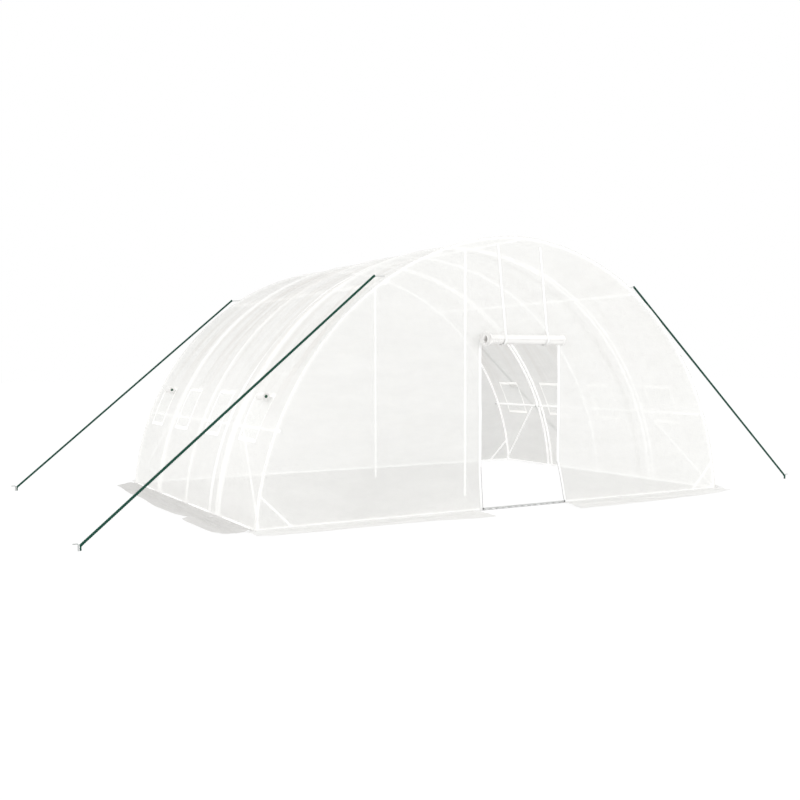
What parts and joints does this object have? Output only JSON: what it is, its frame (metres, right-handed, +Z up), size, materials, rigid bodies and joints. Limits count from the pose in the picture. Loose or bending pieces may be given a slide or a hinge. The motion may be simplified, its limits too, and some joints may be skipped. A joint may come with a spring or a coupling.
{
  "type": "polytunnel greenhouse",
  "caption": "Walk-in garden polytunnel with bent tube arches, a milky film cover, rolled-up side vents with nets, a rolled-up zip door, ground skirts and guy ropes.",
  "frame": {"origin": "on the ground at the middle of the footprint", "axes": "+X to the right along the front gable, +Y from the front gable to the back gable, +Z up"},
  "size_m": [9.1694, 4.636, 2.85],
  "materials": {
    "frame_tube": "white powder-coated steel tube, satin",
    "threshold_tube": "bare galvanised steel tube, dull",
    "cover_film": "milky translucent polyethylene film with a fine reinforcing grid",
    "gable_film": "milky translucent reinforced film, a little slack",
    "skirt_film": "translucent reinforced film lying in soft waves on the ground",
    "rolled_film": "layers of the same film rolled up, nearly opaque, soft sheen",
    "vent_net": "fine pale insect net",
    "roll_rod": "dark green moulded plastic",
    "strap_webbing": "white woven tape",
    "zip_tape": "pale woven tape with a dark row of fine teeth",
    "guy_rope": "dark green braided rope",
    "peg_plastic": "pale grey plastic peg head"
  },
  "bodies": {
    "root": {"back_base_rail": "frame_tube", "back_gable": "gable_film", "back_skirt": "skirt_film", "centre_poles": "frame_tube", "corner_braces": "frame_tube", "cover_crown": "cover_film", "cover_foot_band": "cover_film", "cover_haunch_band": "cover_film", "cover_shoulder_band": "cover_film", "cover_upper_band": "cover_film", "cover_window_band": "cover_film", "door_roll": "rolled_film", "door_straps": "strap_webbing", "door_threshold": "threshold_tube", "door_zips": "zip_tape", "front_arch": "frame_tube", "front_base_rail": "frame_tube", "front_double_arch": "frame_tube", "front_gable_left": "gable_film", "front_gable_right": "gable_film", "front_gable_top": "gable_film", "front_skirts": "skirt_film", "guy_pegs": "peg_plastic", "guy_ropes": "guy_rope", "left_base_rail": "frame_tube", "mid_purlins": "frame_tube", "middle_arch": "frame_tube", "rear_arch": "frame_tube", "rear_double_arch": "frame_tube", "ridge_purlin": "frame_tube", "right_base_rail": "frame_tube", "side_braces": "frame_tube", "side_skirts": "skirt_film", "upper_purlins": "frame_tube", "window_cover_rolls": "rolled_film", "window_nets": "vent_net", "window_roll_rods": "roll_rod"}
  },
  "joints": []
}
